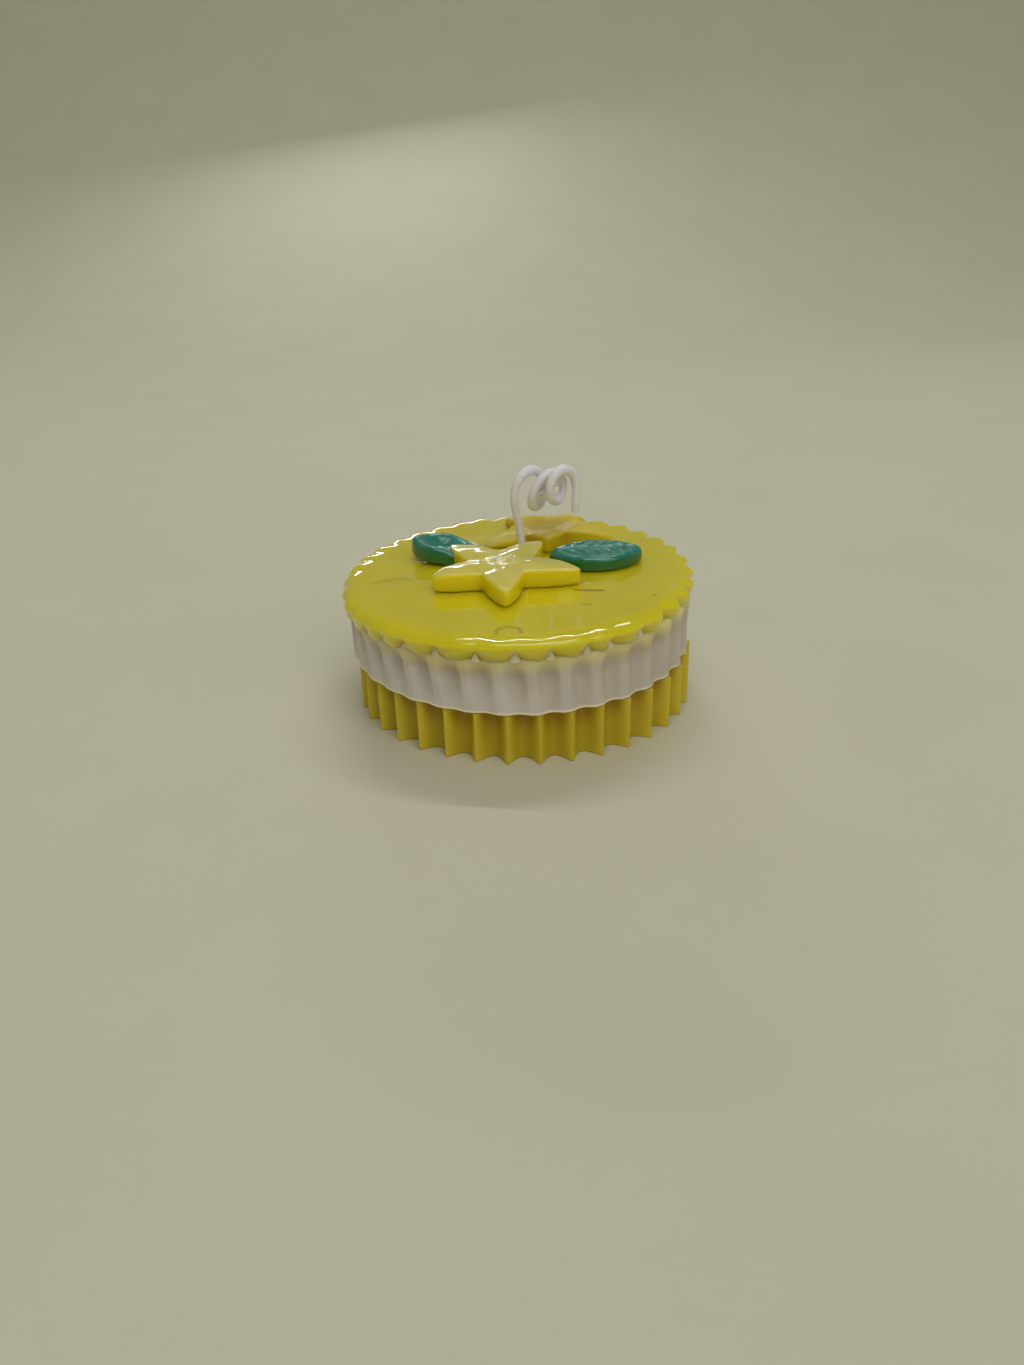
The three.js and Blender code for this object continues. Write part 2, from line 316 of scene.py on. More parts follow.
def new_material(name, **shader_values):
    """Starts a material with values on its main shader, and gives it, its tree and the place on the piece."""
    material = bpy.data.materials.new(name)
    material.use_nodes = True
    tree = material.node_tree
    shader = tree.nodes["Principled BSDF"]
    for key, value in shader_values.items():
        shader.inputs[key.replace("_", " ")].default_value = value
    return material, tree, add(tree, "TexCoord").outputs["Object"]


def clouded_material(name, tones, clouds, grain, band, **shader_values):
    """Starts a material that is clouded in two tones.

    Its clouds and its grain are each a size in millimetres, a detail and a roughness. The band is where the
    clouds start and end, and how much of the second tone they show.
    """
    material, tree, where = new_material(name, **shader_values)
    clouds, grain = [add(tree, "TexNoise", {
        "Vector": where, "Scale": 1 / (size * MM), "Detail": detail, "Roughness": roughness,
    }) for size, detail, roughness in (clouds, grain)]
    cloudy = add(tree, "MapRange", {0: clouds, 1: band[0], 2: band[1], 4: band[2]}, **SOFT)
    tone = add(tree, "Mix", {0: cloudy, 6: rgba(tones[0]), 7: rgba(tones[1])}, **COLOUR)
    return material, tree, where, clouds, grain, tone


def finish_material(material, tone, layers, worn, *reliefs, **linked):
    """Lays colours over a tone, each by its mask, and links the tone, the roughness and the relief.

    A relief is a pattern, a depth in millimetres and a strength.
    """
    tree = material.node_tree
    for mask, colour in layers:
        tone = add(tree, "Mix", {0: mask, 6: tone, 7: rgba(colour)}, **COLOUR)
    below = {}
    for pattern, depth, strength in reliefs:
        bump = {"Height": pattern, "Distance": depth * MM, "Strength": strength}
        below = {"Normal": add(tree, "Bump", {**bump, **below})}
    shader = tree.nodes["Principled BSDF"]
    for name, value in {"Base Color": tone, "Roughness": worn, **below, **linked}.items():
        tree.links.new(socket_of(value), shader.inputs[name.replace("_", " ")])
    return material


def painted_wall_shading_mask(tree, start, end, most):
    """Mask for painting the walls' shading into the colour: nothing where the surface faces up, and the most
    where it leans past the end.
    """
    normal = add(tree, "NewGeometry").outputs["Normal"]
    faces_up = add(tree, "SeparateXYZ", {0: normal}).outputs["Z"]
    return add(tree, "MapRange", {0: faces_up, 1: start, 2: end, 4: most}, **SOFT)


def seam_mask(tree, where, seam, start, end, most=1.0):
    """Mask that grows between two heights over a seam, in millimetres."""
    slope = (-seam[1], -seam[2], 1.0)
    height = add(tree, "VectorMath", {0: where, 1: slope}, operation="DOT_PRODUCT").outputs["Value"]
    low, high = (seam[0] + start) * MM, (seam[0] + end) * MM
    return add(tree, "MapRange", {0: height, 1: low, 2: high, 4: most}, **SOFT)


def reach_mask(tree, where, start, end, most=1.0, centre=(0, 0, 0), stretch=(1, 1, 0)):
    """Mask that grows between two distances from a centre, or from the candle's axis, in millimetres."""
    middle = [c * MM for c in centre]
    off = add(tree, "VectorMath", {0: where, 1: middle}, operation="SUBTRACT")
    off = add(tree, "VectorMath", {0: off, 1: stretch}, operation="MULTIPLY")
    reach = add(tree, "VectorMath", {0: off}, operation="LENGTH").outputs["Value"]
    return add(tree, "MapRange", {0: reach, 1: start * MM, 2: end * MM, 4: most}, **SOFT)


def golden_wax(colours):
    """Paraffin wax dyed in the mass and cast in a fluted tin: satin and opaque, its hollows painted darker as
    painted shade, amber near the top, and its ridges painted lighter as a painted highlight.
    """
    material, tree, where, clouds, grain, tone = clouded_material(
        "golden_wax_cast", (colours.base, "#cfb526"), (9, 3, 0.5), (1.1, 4, 0.6), (0.35, 0.7, 0.55),
        IOR=1.44, Subsurface_Weight=0.25, Subsurface_Scale=2.5 * MM, Subsurface_Radius=(1.0, 0.85, 0.12))
    # Painted shade darkens the flute hollows, more and amber near the top where the white disc overhangs
    # them; a painted highlight lightens the ridges.
    hollow = reach_mask(tree, where, 39.3, 37.2)
    shaded = add(tree, "Math", {0: hollow, 1: 0.45}, operation="MULTIPLY")
    near_top = seam_mask(tree, where, SEAM_LOWER, -6.5, -0.6, 0.6)
    amber = add(tree, "Math", {0: hollow, 1: near_top}, operation="MULTIPLY")
    ridge = reach_mask(tree, where, 38.2, 39.8, 0.3)
    layers = (shaded, "#b39a12"), (amber, "#b07a12"), (ridge, "#e2d04a")
    worn = add(tree, "MapRange", {0: grain, 3: 0.36, 4: 0.5})
    return finish_material(material, tone, layers, worn, (clouds, 0.35, 0.5), (grain, 0.06, 0.45))


def white_wax(colours):
    """White paraffin wax, cast and joined while warm: soft and milky, stained where yellow wax met it, with
    painted shade in its flute hollows and a painted highlight along its foot lip.
    """
    material, tree, where, clouds, grain, tone = clouded_material(
        "white_wax_cast", (colours.white, "#cec7bf"), (7, 3, 0.5), (0.9, 4, 0.6), (0.4, 0.75, 0.5),
        IOR=1.44, Subsurface_Weight=0.35, Subsurface_Scale=3 * MM, Subsurface_Radius=(1.0, 0.8, 0.6))
    # Painted shade darkens the flute hollows.
    hollow = reach_mask(tree, where, 40.0, 38.4, 0.4)
    run_down = seam_mask(tree, where, SEAM_UPPER, -5.5, -0.3)
    runs = add(tree, "TexNoise", {"Vector": where, "Scale": 1 / (8 * MM), "Detail": 2, "Distortion": 0.4})
    patchy = add(tree, "MapRange", {0: runs, 1: 0.42, 2: 0.66, 4: 0.8}, **SOFT)
    stain = add(tree, "Math", {0: run_down, 1: patchy}, operation="MULTIPLY")
    at_rim = seam_mask(tree, where, SEAM_UPPER, -4.2, -0.4, 0.9)
    # The foot lip is painted a bright cream, as a painted highlight along its edge.
    at_foot = seam_mask(tree, where, SEAM_LOWER, 0.9, 0.5, 0.9)
    layers = (hollow, "#bfae96"), (stain, "#c2a264"), (at_rim, "#ece0a0"), (at_foot, "#fff0c4")
    worn = add(tree, "MapRange", {0: grain, 3: 0.32, 4: 0.46})
    return finish_material(material, tone, layers, worn, (clouds, 0.3, 0.5), (grain, 0.05, 0.4))


def cream_wax():
    """White wax that took a little yellow when it was pressed up: creamy and glossy like a drop, and painted
    a bright cream, partly as a painted highlight.
    """
    material, tree, where = new_material(
        "cream_wax_pressed_and_highlit", IOR=1.44, Subsurface_Weight=0.4, Subsurface_Scale=1.5 * MM,
        Subsurface_Radius=(1.0, 0.9, 0.5), Coat_Weight=0.4, Coat_Roughness=0.1)
    clouds = add(tree, "TexNoise", {"Vector": where, "Scale": 1 / (1.5 * MM), "Detail": 2})
    tone = add(tree, "Mix", {0: clouds, 6: rgba("#fbf3dc"), 7: rgba("#f6eab0")}, **COLOUR)
    worn = add(tree, "MapRange", {0: clouds, 3: 0.15, 4: 0.3})
    return finish_material(material, tone, (), worn, (clouds, 0.1, 0.4))


def yellow_gel(colours):
    """Gel wax dyed yellow and poured: clear and wet, its rim walls painted brighter as painted light, and
    creamy at its foot.
    """
    material, tree, where, clouds, ripple, tone = clouded_material(
        "yellow_gel_wax_poured", (colours.gel, "#d6c718"), (14, 1, 0.5), (3.5, 1, 0.5), (0.35, 0.7, 0.5),
        IOR=1.46, Subsurface_Weight=0.8, Subsurface_Scale=6 * MM, Subsurface_Radius=(1.0, 0.95, 0.15),
        Coat_Weight=0.6, Coat_Roughness=0.025, Coat_IOR=1.48)
    # Painted light: the walls are painted a brighter, deeper yellow than the face, to lift the shade on them.
    wall = painted_wall_shading_mask(tree, 0.9, 0.2, 0.9)
    at_foot = seam_mask(tree, where, SEAM_UPPER, 1.3, -0.2, 0.6)
    mark = add(tree, "Attribute", attribute_name="darkened_marks").outputs["Fac"]
    layers = (wall, "#f2e010"), (at_foot, "#efe29c"), (mark, "#7d6c08")
    worn = add(tree, "MapRange", {0: ripple, 3: 0.025, 4: 0.055})
    return finish_material(material, tone, layers, worn, (clouds, 0.5, 0.35), (ripple, 0.08, 0.2))


def star_wax(colours):
    """Pale yellow wax cast in a star mould: waxy gloss, pale on top, its walls painted a deep, glowing yellow
    as painted light.

    The rear star is duller, and painted shade makes it golden and amber in its hollow; painted glints dot the
    front star's boss.
    """
    material, tree, where, clouds, ripple, tone = clouded_material(
        "pale_yellow_wax_moulded", (colours.star, "#dccc54"), (6, 3, 0.5), (1.6, 3, 0.5), (0.4, 0.75, 0.5),
        IOR=1.45, Subsurface_Weight=0.85, Subsurface_Scale=4 * MM, Subsurface_Radius=(1.0, 0.92, 0.3),
        Coat_Weight=0.55, Coat_Roughness=0.04, Coat_IOR=1.46)
    # Painted light: the walls are painted a deeper, brighter yellow for the glow of the translucent wax.
    wall = painted_wall_shading_mask(tree, 0.75, 0.1, 0.95)
    back = add(tree, "SeparateXYZ", {0: where}).outputs["Y"]
    # Painted shade: the rear star is painted golden, and made duller by more roughness and less coat.
    behind = add(tree, "MapRange", {0: back, 1: 7 * MM, 2: 11 * MM, 4: 0.7}, **SOFT)
    hollow = (REAR_STAR["right"], REAR_STAR["back"] - 1.5, 35.5)
    # Painted shade, amber, deepens the rear star's hollow.
    deep = reach_mask(tree, where, 11, 2.5, 0.75, hollow, (1.1, 1.0, 0.9))
    boss = (FRONT_STAR["right"], FRONT_STAR["back"], 36)
    on_boss = reach_mask(tree, where, 4.5, 1.2, 1.0, boss, (1, 1, 1))
    # Painted highlight: pale dots over the front star's boss stand in for its glints.
    glint_noise = add(tree, "TexNoise", {"Vector": where, "Scale": 1 / (0.8 * MM), "Detail": 2})
    glint_spots = add(tree, "MapRange", {0: glint_noise, 1: 0.45, 2: 0.6}, **SOFT)
    pale = add(tree, "Math", {0: on_boss, 1: glint_spots}, operation="MULTIPLY")
    layers = (wall, "#fcdf12"), (behind, "#d2bc1c"), (deep, "#ab8a04"), (pale, "#fbf7ee")
    worn = add(tree, "MapRange", {0: ripple, 3: 0.07, 4: 0.16})
    worn = add(tree, "Math", {0: behind, 1: 0.5, 2: worn}, operation="MULTIPLY_ADD")
    coat = add(tree, "Math", {0: behind, 1: -0.7, 2: 0.55}, operation="MULTIPLY_ADD", use_clamp=True)
    return finish_material(
        material, tone, layers, worn, (clouds, 0.3, 0.4), (ripple, 0.08, 0.5), Coat_Weight=coat)


def leaf_wax(colours):
    """Green wax pressed in a leaf mould: dense colour, with painted highlights on its veins and its wall
    painted a darker, deeper green as painted shade.
    """
    material, tree, _, clouds, grain, tone = clouded_material(
        "green_wax_pressed", (colours.leaf, "#3d9b9c"), (3.5, 3, 0.5), (0.9, 4, 0.65), (0.4, 0.75, 0.6),
        IOR=1.45, Subsurface_Weight=0.15, Subsurface_Scale=1.5 * MM, Subsurface_Radius=(0.3, 1.0, 0.5),
        Coat_Weight=0.7, Coat_Roughness=0.09, Coat_IOR=1.5)
    # Painted shade: the wall is painted a darker, deeper green than the face.
    wall = painted_wall_shading_mask(tree, 0.7, 0.1, 0.9)
    # Painted highlight: the veins are painted whitish where their shine falls.
    veins = add(tree, "Attribute", attribute_name="veins").outputs["Fac"]
    worn = add(tree, "MapRange", {0: grain, 3: 0.1, 4: 0.26})
    return finish_material(
        material, tone, ((wall, "#23702a"), (veins, "#a9cfd2")), worn, (clouds, 0.3, 0.5), (grain, 0.1, 0.3))


def wick_cotton(colours):
    """Braided cotton dipped in wax: white, its plait just felt under a thin satin coat."""
    material, tree, _, fibre, lumps, tone = clouded_material(
        "waxed_cotton_braided", (colours.wick, "#e8e4f6"), (0.45, 4, 0.6), (2.2, 2, 0.5), (0.35, 0.7, 0.5),
        IOR=1.45, Subsurface_Weight=0.3, Subsurface_Scale=MM, Subsurface_Radius=(1.0, 0.95, 0.9),
        Sheen_Weight=0.15)
    worn = add(tree, "MapRange", {0: lumps, 3: 0.38, 4: 0.6})
    return finish_material(material, tone, (), worn, (lumps, 0.25, 0.5), (fibre, 0.1, 0.7))


def tinplate():
    """Steel sheet, tinned and stamped: dull silver, its die scratches drawn coarse enough to show."""
    material, tree, where = new_material("tinplate_stamped", Metallic=1.0)
    drawn = add(tree, "Mapping", {"Vector": where, "Scale": (1, 14, 1)})
    scratches = add(tree, "TexNoise", {
        "Vector": drawn, "Scale": 1 / (3 * MM), "Detail": 3, "Roughness": 0.7})
    tone = add(tree, "Mix", {0: scratches, 6: rgba("#b4b7ba"), 7: rgba("#d4d6d6")}, **COLOUR)
    worn = add(tree, "MapRange", {0: scratches, 3: 0.25, 4: 0.5})
    return finish_material(material, tone, (), worn, (scratches, 0.02, 0.4))


def painted_board(colours):
    """Matt painted board: one even colour with the faintest mottle, its tooth drawn coarse enough to show."""
    material, tree, where = new_material("matt_painted_board", IOR=1.4)
    mottle = add(tree, "TexNoise", {"Vector": where, "Scale": 1 / (60 * MM), "Detail": 2})
    tooth = add(tree, "TexNoise", {"Vector": where, "Scale": 1 / (1.5 * MM), "Detail": 3})
    tone = add(tree, "Mix", {0: mottle, 6: rgba(colours.floor), 7: rgba("#d9d7c5")}, **COLOUR)
    worn = add(tree, "MapRange", {0: tooth, 3: 0.8, 4: 0.9})
    return finish_material(material, tone, (), worn, (tooth, 0.05, 0.2))


# Discs


def flute_depth(x, y, depth, land, power):
    """Depth of the flutes below the ridges at a point's turn, with ridges of a land's width between them."""
    pitch = 360 / RIDGES
    reach = hypot(x, y)
    off_ridge = (degrees(atan2(y, x)) - FIRST_RIDGE_TURN + pitch / 2) % pitch - pitch / 2
    share = max((radians(abs(off_ridge)) * reach - land / 2) / (radians(pitch) * reach - land), 0.0)
    return depth * sin(pi * min(share, 1.0)) ** power


# Each ring of a disc is a share of its height and an inset from its radius in millimetres.


def wall_rings(low, high, steps, growth=0.0):
    """Rings up a wall between two shares of the height, growing out by so many millimetres on the way."""
    return [(lerp(low, high, i / steps), -growth * i / steps) for i in range(1, steps + 1)]


def round_rings(share, steps, inset, growth=0.0, at_top=True):
    """Rings of a quarter round over a share of the height, at the top of a wall that grew or at its foot."""
    rings = []
    for i in range(steps + 1):
        rise, run = 1 - sin(pi / 2 * i / steps), 1 - cos(pi / 2 * i / steps)
        rings.append((1 - share * rise, inset * run - growth) if at_top else (share * run, inset * rise))
    return rings[1:] if at_top else rings


def draw_rings(radius, height, rings, top_shares):
    """Draws the selected ring up the wall and then in over the top, to shares of the radius."""
    last_share, last_radius = 0.0, radius - rings[0][1]
    for share, inset in rings[1:]:
        draw((share - last_share) * height, (radius - inset) / last_radius)
        last_share, last_radius = share, radius - inset
    for share in top_shares:
        draw(0.0, share * radius / last_radius)
        last_radius = share * radius
    close_up()


def model_disc(name, below, above, radius, growth, rings, top_shares):
    """Models a straight disc between two seams' heights, its foot drawn out from a ring inside it."""
    start, grown = 0.6 * radius, radius + growth
    piece = start_ring(name, RIDGES * POINTS_PER_RIDGE, start, below[0], turn=FIRST_RIDGE_TURN)
    edit_all()
    draw(0.0, (grown - rings[0][1]) / start)
    draw_rings(grown, above[0] - below[0], rings, top_shares)
    return piece


def slope_disc(piece, below, above, lower_shift=(0.0, 0.0), upper_shift=(0.0, 0.0), twist=0.0):
    """Moves a straight disc to lie between two sloping planes, twisted and shifted on its way up."""
    def share_of(z):
        return min(max((z - below[0]) / (above[0] - below[0]), 0.0), 1.0)

    def angle(z):
        return radians(twist) * share_of(z)

    if twist:
        push(piece, "X", lambda x, y, z: x * (cos(angle(z)) - 1) - y * sin(angle(z)))
        push(piece, "Y", lambda x, y, z: x * tan(angle(z)) + y * (1 / cos(angle(z)) - 1))
    push(piece, "X", lambda x, y, z: lerp(lower_shift[0], upper_shift[0], share_of(z)))
    push(piece, "Y", lambda x, y, z: lerp(lower_shift[1], upper_shift[1], share_of(z)))
    push(piece, "Z", lambda x, y, z: (
        x * lerp(below[1], above[1], share_of(z)) + y * lerp(below[2], above[2], share_of(z))))


def roughen(piece, amount):
    """Pushes the wall of a disc along its normal, and leaves its middle smooth."""
    push(piece, "NORMAL", lambda x, y, z: amount(x, y, z) if hypot(x, y) > SMOOTH_RADIUS else 0.0)


RECESS_RADIUS, RECESS_HEIGHT = 6.8, 0.8


class CANDLE_OT_base_disc(bpy.types.Operator):
    """Models the golden base: deep hollow flutes between narrow ridges, and the tab's recess under it"""
    bl_idname = "candle.base_disc"
    bl_label = "Base disc"

    def execute(self, context):
        radius = context.scene.candle_sizes.radius / MM
        rings = [(0.0, 0.25), (0.012, 0.07), (0.03, 0.0)] + wall_rings(0.03, 1.0, 12)
        piece = start_ring(
            "base_wax", RIDGES * POINTS_PER_RIDGE, RECESS_RADIUS, RECESS_HEIGHT, WICK_PLACE, FIRST_RIDGE_TURN)
        edit_all()
        draw(-RECESS_HEIGHT)
        to_middle = (-WICK_PLACE[0], -WICK_PLACE[1])
        draw(0.0, (radius - rings[0][1]) / RECESS_RADIUS, to_middle, (*WICK_PLACE, 0.0))
        draw_rings(radius, SEAM_LOWER[0], rings, (0.9, 0.5, 0.1))

        def flutes(x, y, z):
            if hypot(x, y) < 0.95 * radius:
                return 0.0
            return flute_depth(x, y, depth=3.5, land=0.6, power=0.9)

        draw_in(piece, CORE_RADIUS, flutes)
        slope_disc(piece, SEAM_FOOT, SEAM_LOWER)
        roughen(piece, lambda x, y, z: 0.14 * (wander(x, y, z, 6.0, 3.1) - 0.6) * smooth(0.0, 1.0, z))
        finish_piece(piece, golden_wax(context.scene.candle_colours), "base_tier")
        return {"FINISHED"}


class CANDLE_OT_white_disc(bpy.types.Operator):
    """Models the white middle disc: soft leaning ridges, a rounded rim and thin lips at its foot and rim"""
    bl_idname = "candle.white_disc"
    bl_label = "White disc"

    def execute(self, context):
        radius = context.scene.candle_sizes.radius / MM
        lower_growth, upper_growth, edge = 0.1, 0.6, 0.5
        growth = upper_growth - lower_growth
        rings = [(0.0, edge), (0.01, 0.1), (0.022, -0.1), (0.042, -0.14), (0.058, -0.02), (0.08, 0.0)]
        rings += wall_rings(0.08, 0.92, 12, growth) + round_rings(0.08, 4, edge, growth)
        piece = model_disc(
            "white_wax", SEAM_LOWER, SEAM_UPPER, radius, lower_growth, rings, (0.95, 0.9, 0.5, 0.1))

        def flutes(x, y, z):
            if hypot(x, y) < 0.93 * radius:
                return 0.0
            level = (z - SEAM_LOWER[0]) / (SEAM_UPPER[0] - SEAM_LOWER[0])
            foot = lerp(0.5, 0.25, smooth(12.0, -12.0, x) * smooth(10.0, -10.0, y))
            held = lerp(foot, 1.0, smooth(0.05, 0.7, level)) * lerp(1.0, 0.45, smooth(0.6, 0.97, level))
            return flute_depth(x, y, depth=1.8 * held, land=1.8, power=1.2)

        def unevenness(x, y, z):
            lip = 0.4 * smooth(5.0, -18.0, y) * smooth(3.4, 0.8, plane_height(SEAM_UPPER, x, y) - z)
            return 0.3 * (wander(x, y, z, 7.0, 1.7) - 0.5) + lip

        draw_in(piece, CORE_RADIUS, flutes)
        slope_disc(
            piece, SEAM_LOWER, SEAM_UPPER, lower_shift=(-0.9, 0.1), upper_shift=(-1.0, 1.5), twist=-1.5)
        roughen(piece, unevenness)
        finish_piece(piece, white_wax(context.scene.candle_colours), "middle_tier")
        return {"FINISHED"}


# Turns of the creases that the tin pressed into the gel's rim, uneven where the gel has run.
CREASES = [-143.5, -135.6, -126.7, -115.4, -102.8, -90.9, -80.4, -69.0, -61.3, -49.5, -37.5, -26.3, -16.8]
CREASES += [lerp(CREASES[-1], CREASES[0] + 360, i / 24) for i in range(1, 25)]
CREASE_DEPTH, FILLED_CREASE_DEPTH = 2.9, 1.5
GEL_LOWER_SHIFT, GEL_UPPER_SHIFT = (-1.2, 1.1), (-1.0, -1.1)

# Faint marks in the poured face, each a shallow groove with the colour darkened along it: points, width,
# depth and how dark they are.
MARKS = (
    (((-34.0, -6.9), (-31.0, -5.0), (-28.0, -4.3), (-26.4, -5.3)), 2.6, 0.0, 0.3),
    (((-5.5, -37.2), (-5.5, -35.6), (-4.8, -34.4), (-3.0, -33.8),
      (-1.2, -34.4), (-0.5, -35.6), (-0.5, -37.2)), 1.7, 0.08, 0.45),
    (((11.6, -15.1), (17.8, -15.6)), 1.3, 0.15, 0.9),
    (((12.9, -23.2), (14.4, -23.3)), 1.2, 0.1, 0.6),
    (((28.6, -19.5), (28.7, -19.5)), 1.6, 0.2, 0.6),
)


def crease_share(x, y):
    """1 in a crease of the gel's rim, falling to 0 at the middle of a lobe."""
    turn = (degrees(atan2(y, x)) - CREASES[0]) % 360 + CREASES[0]
    i = max(k for k in range(RIDGES) if CREASES[k] <= turn)
    share = (turn - CREASES[i]) / (CREASES[i + 1] - CREASES[i])
    return 1 - 2 * min(share, 1 - share)


def at_left(x):
    """1 at the left of the rim, falling to 0 towards its middle."""
    return smooth(-9.0, -22.0, x)


def at_front(x, y):
    """1 along the front and left of the rim, where the gel ran and filled its creases, and 0 elsewhere."""
    return max(smooth(8.0, -22.0, y) * smooth(34.0, 24.0, x), 0.9 * at_left(x))


def crease_depth(x, y):
    return lerp(CREASE_DEPTH, FILLED_CREASE_DEPTH, at_front(x, y))


def groove(x, y, points, width):
    """1 on a line through points, falling to 0 at half its width away."""
    nearest = width
    for (ax, ay), (bx, by) in zip(points, points[1:]):
        run = (bx - ax, by - ay)
        along = ((x - ax) * run[0] + (y - ay) * run[1]) / (run[0] ** 2 + run[1] ** 2)
        along = min(max(along, 0.0), 1.0)
        nearest = min(nearest, hypot(x - ax - along * run[0], y - ay - along * run[1]))
    return smooth(width / 2, 0.0, nearest)


class CANDLE_OT_gel_disc(bpy.types.Operator):
    """Models the yellow gel top: a creased, rounded rim and a gently uneven poured face with a few marks"""
    bl_idname = "candle.gel_disc"
    bl_label = "Gel disc"

    def execute(self, context):
        radius = context.scene.candle_sizes.radius / MM
        lower_growth, upper_growth, foot_edge, edge = 1.02, 1.19, 0.25, 1.7
        growth = upper_growth - lower_growth
        rings = round_rings(0.06, 3, foot_edge, at_top=False)
        rings += wall_rings(0.06, 0.55, 4, growth) + round_rings(0.45, 8, edge, growth)
        top_shares = [0.955 - 0.0143 * i for i in range(64)]
        front_fall, front_fall_start = 0.065, 36.2
        left_fall, left_fall_start = 0.06, 37.3
        piece = model_disc("gel_top", SEAM_UPPER, CROWN, radius, lower_growth, rings, top_shares)

        def creases(x, y, z):
            reach = hypot(x, y)
            if reach < 0.8 * radius:
                return 0.0
            level = (z - SEAM_UPPER[0]) / (CROWN[0] - SEAM_UPPER[0])
            front = at_front(x, y)
            held = lerp(1.0, lerp(0.8, 0.2, front), smooth(0.1, 0.75, level))
            depth = crease_depth(x, y) * held * smooth(0.88 * radius, 0.98 * radius, reach)
            return depth * crease_share(x, y) ** lerp(1.3, 2.2, front)

        def unevenness(x, y, z):
            """Lets the rim fall in lobes at the front and left, and the face swell and hold its marks."""
            under, over = plane_height(SEAM_UPPER, x, y), plane_height(CROWN, x, y)
            level = min(max((z - under) / (over - under), 0.0), 1.0)
            reach = hypot(x - GEL_UPPER_SHIFT[0], y - GEL_UPPER_SHIFT[1])
            crease, front = crease_share(x, y), at_front(x, y)
            waves = 1 + 0.35 * (crease - 0.5) * front
            fall = front_fall * waves * smooth(16.0, -14.0, y) * max(reach - front_fall_start, 0.0) ** 2
            fall = max(fall, left_fall * waves * at_left(x) * max(reach - left_fall_start, 0.0) ** 2)
            fall += 0.3 * (crease - 0.5) * at_left(x) * smooth(-5.0, 8.0, y) * smooth(36.0, 38.5, reach)
            marks = sum(depth * groove(x, y, points, width) for points, width, depth, _ in MARKS)
            swell = 0.16 * (wander(x, y, 0.0, 9.0, 2.3) - 0.6) - 0.12 * smooth(40.0, 34.0, reach)
            lobe = front * (0.8 * crease - 0.45) * smooth(35.0, 39.0, reach)
            return (swell - fall - marks) * level ** 2 + (1 - level) * lobe

        def front_drawn_in(x, y, z):
            return 0.8 * smooth(-22.0, -38.0, y) * smooth(5.0, 0.5, z - plane_height(SEAM_UPPER, x, y))

        def left_swollen(x, y, z):
            return -0.7 * smooth(-4.0, -18.0, y) * smooth(-12.0, -30.0, x)

        draw_in(piece, CORE_RADIUS, creases)
        slope_disc(piece, SEAM_UPPER, CROWN, GEL_LOWER_SHIFT, GEL_UPPER_SHIFT)
        push(piece, "Z", unevenness)
        push(piece, "Y", front_drawn_in)
        push(piece, "X", left_swollen)
        paint(piece, "darkened_marks", lambda x, y, z: sum(
            dark * groove(x, y, points, width) for points, width, _, dark in MARKS))
        finish_piece(piece, yellow_gel(context.scene.candle_colours), "top_tier")
        return {"FINISHED"}


class CANDLE_OT_cusps(bpy.types.Operator):
    """Models one cusp of cream wax pressed up into a crease of the gel, bright partly as a painted highlight,
    and copies it into each
    """
    bl_idname = "candle.cusps"
    bl_label = "Cream cusps"

    def execute(self, context):
        radius = context.scene.candle_sizes.radius / MM
        height, foot_radius, tip_radius, rounding = 2.4, 1.3, 0.35, 0.12
        thin, wide = 0.55, 1.15
        ahead, front_inset, sunk = 1.5, 0.35, 0.35
        take()
        bpy.ops.mesh.primitive_cone_add(
            vertices=12, radius1=foot_radius * MM, radius2=tip_radius * MM, depth=height * MM,
            location=(0, 0, height / 2 * MM))
        first = context.object
        first.scale = (thin, wide, 1.0)
        apply_place()
        edit_all()
        bpy.ops.mesh.bevel(offset=rounding * MM, segments=2, affect="EDGES")
        close_up()
        refine(first, 1)
        cusps = []
        for index, turn in enumerate(CREASES[:RIDGES]):
            across, back = cos(radians(turn)), sin(radians(turn))
            at = (radius * across, radius * back)
            reach = radius + ahead - crease_depth(*at) - front_inset * at_front(*at)
            x, y = GEL_LOWER_SHIFT[0] + reach * across, GEL_LOWER_SHIFT[1] + reach * back
            cusp = first.copy()
            cusp.data = first.data.copy()
            context.collection.objects.link(cusp)
            size = 0.85 + 0.25 * noise.noise(Vector((index * 1.7, 0.4, 2.0)))
            cusp.location = (x * MM, y * MM, (plane_height(SEAM_UPPER, x, y) - sunk) * MM)
            cusp.rotation_euler = (0, 0, radians(turn))
            cusp.scale = (1.0, size, size)
            cusps.append(cusp)
        bpy.data.objects.remove(first)
        take(*cusps)
        apply_place()
        bpy.ops.object.join()
        piece = context.object
        name_piece(piece, "highlit_cream_cusps")
        finish_piece(piece, cream_wax(), "middle_tier")
        return {"FINISHED"}


# Stars and leaves

PETALS = 5
PETAL_POINTS = 16
STAR_WAIST = 7.9
PETAL_SWELL = 0.6
BOSS_HEIGHT = 0.6
DOT_HEIGHT, DOT_WIDTH, DOT_RING_RADIUS = 0.45, 0.55, 4.2
STAR_TOP_SHARES = (0.88, 0.8, 0.7, 0.6, 0.5, 0.4, 0.3, 0.22, 0.15, 0.09, 0.04)
FRONT_STAR = {"right": -4.8, "back": -7.6, "turn": -86.0, "tip_fall": 0.8, "sink": 0.0, "dish": 0.0,
              "reaches": (1.02, 1.12, 1.09, 1.18, 1.0)}
REAR_STAR = {"right": 6.3, "back": 20.5, "turn": -90.0, "tip_fall": 3.2, "sink": 1.7, "dish": 1.6,
             "reaches": (0.66, 1.04, 1.04, 1.04, 1.04)}


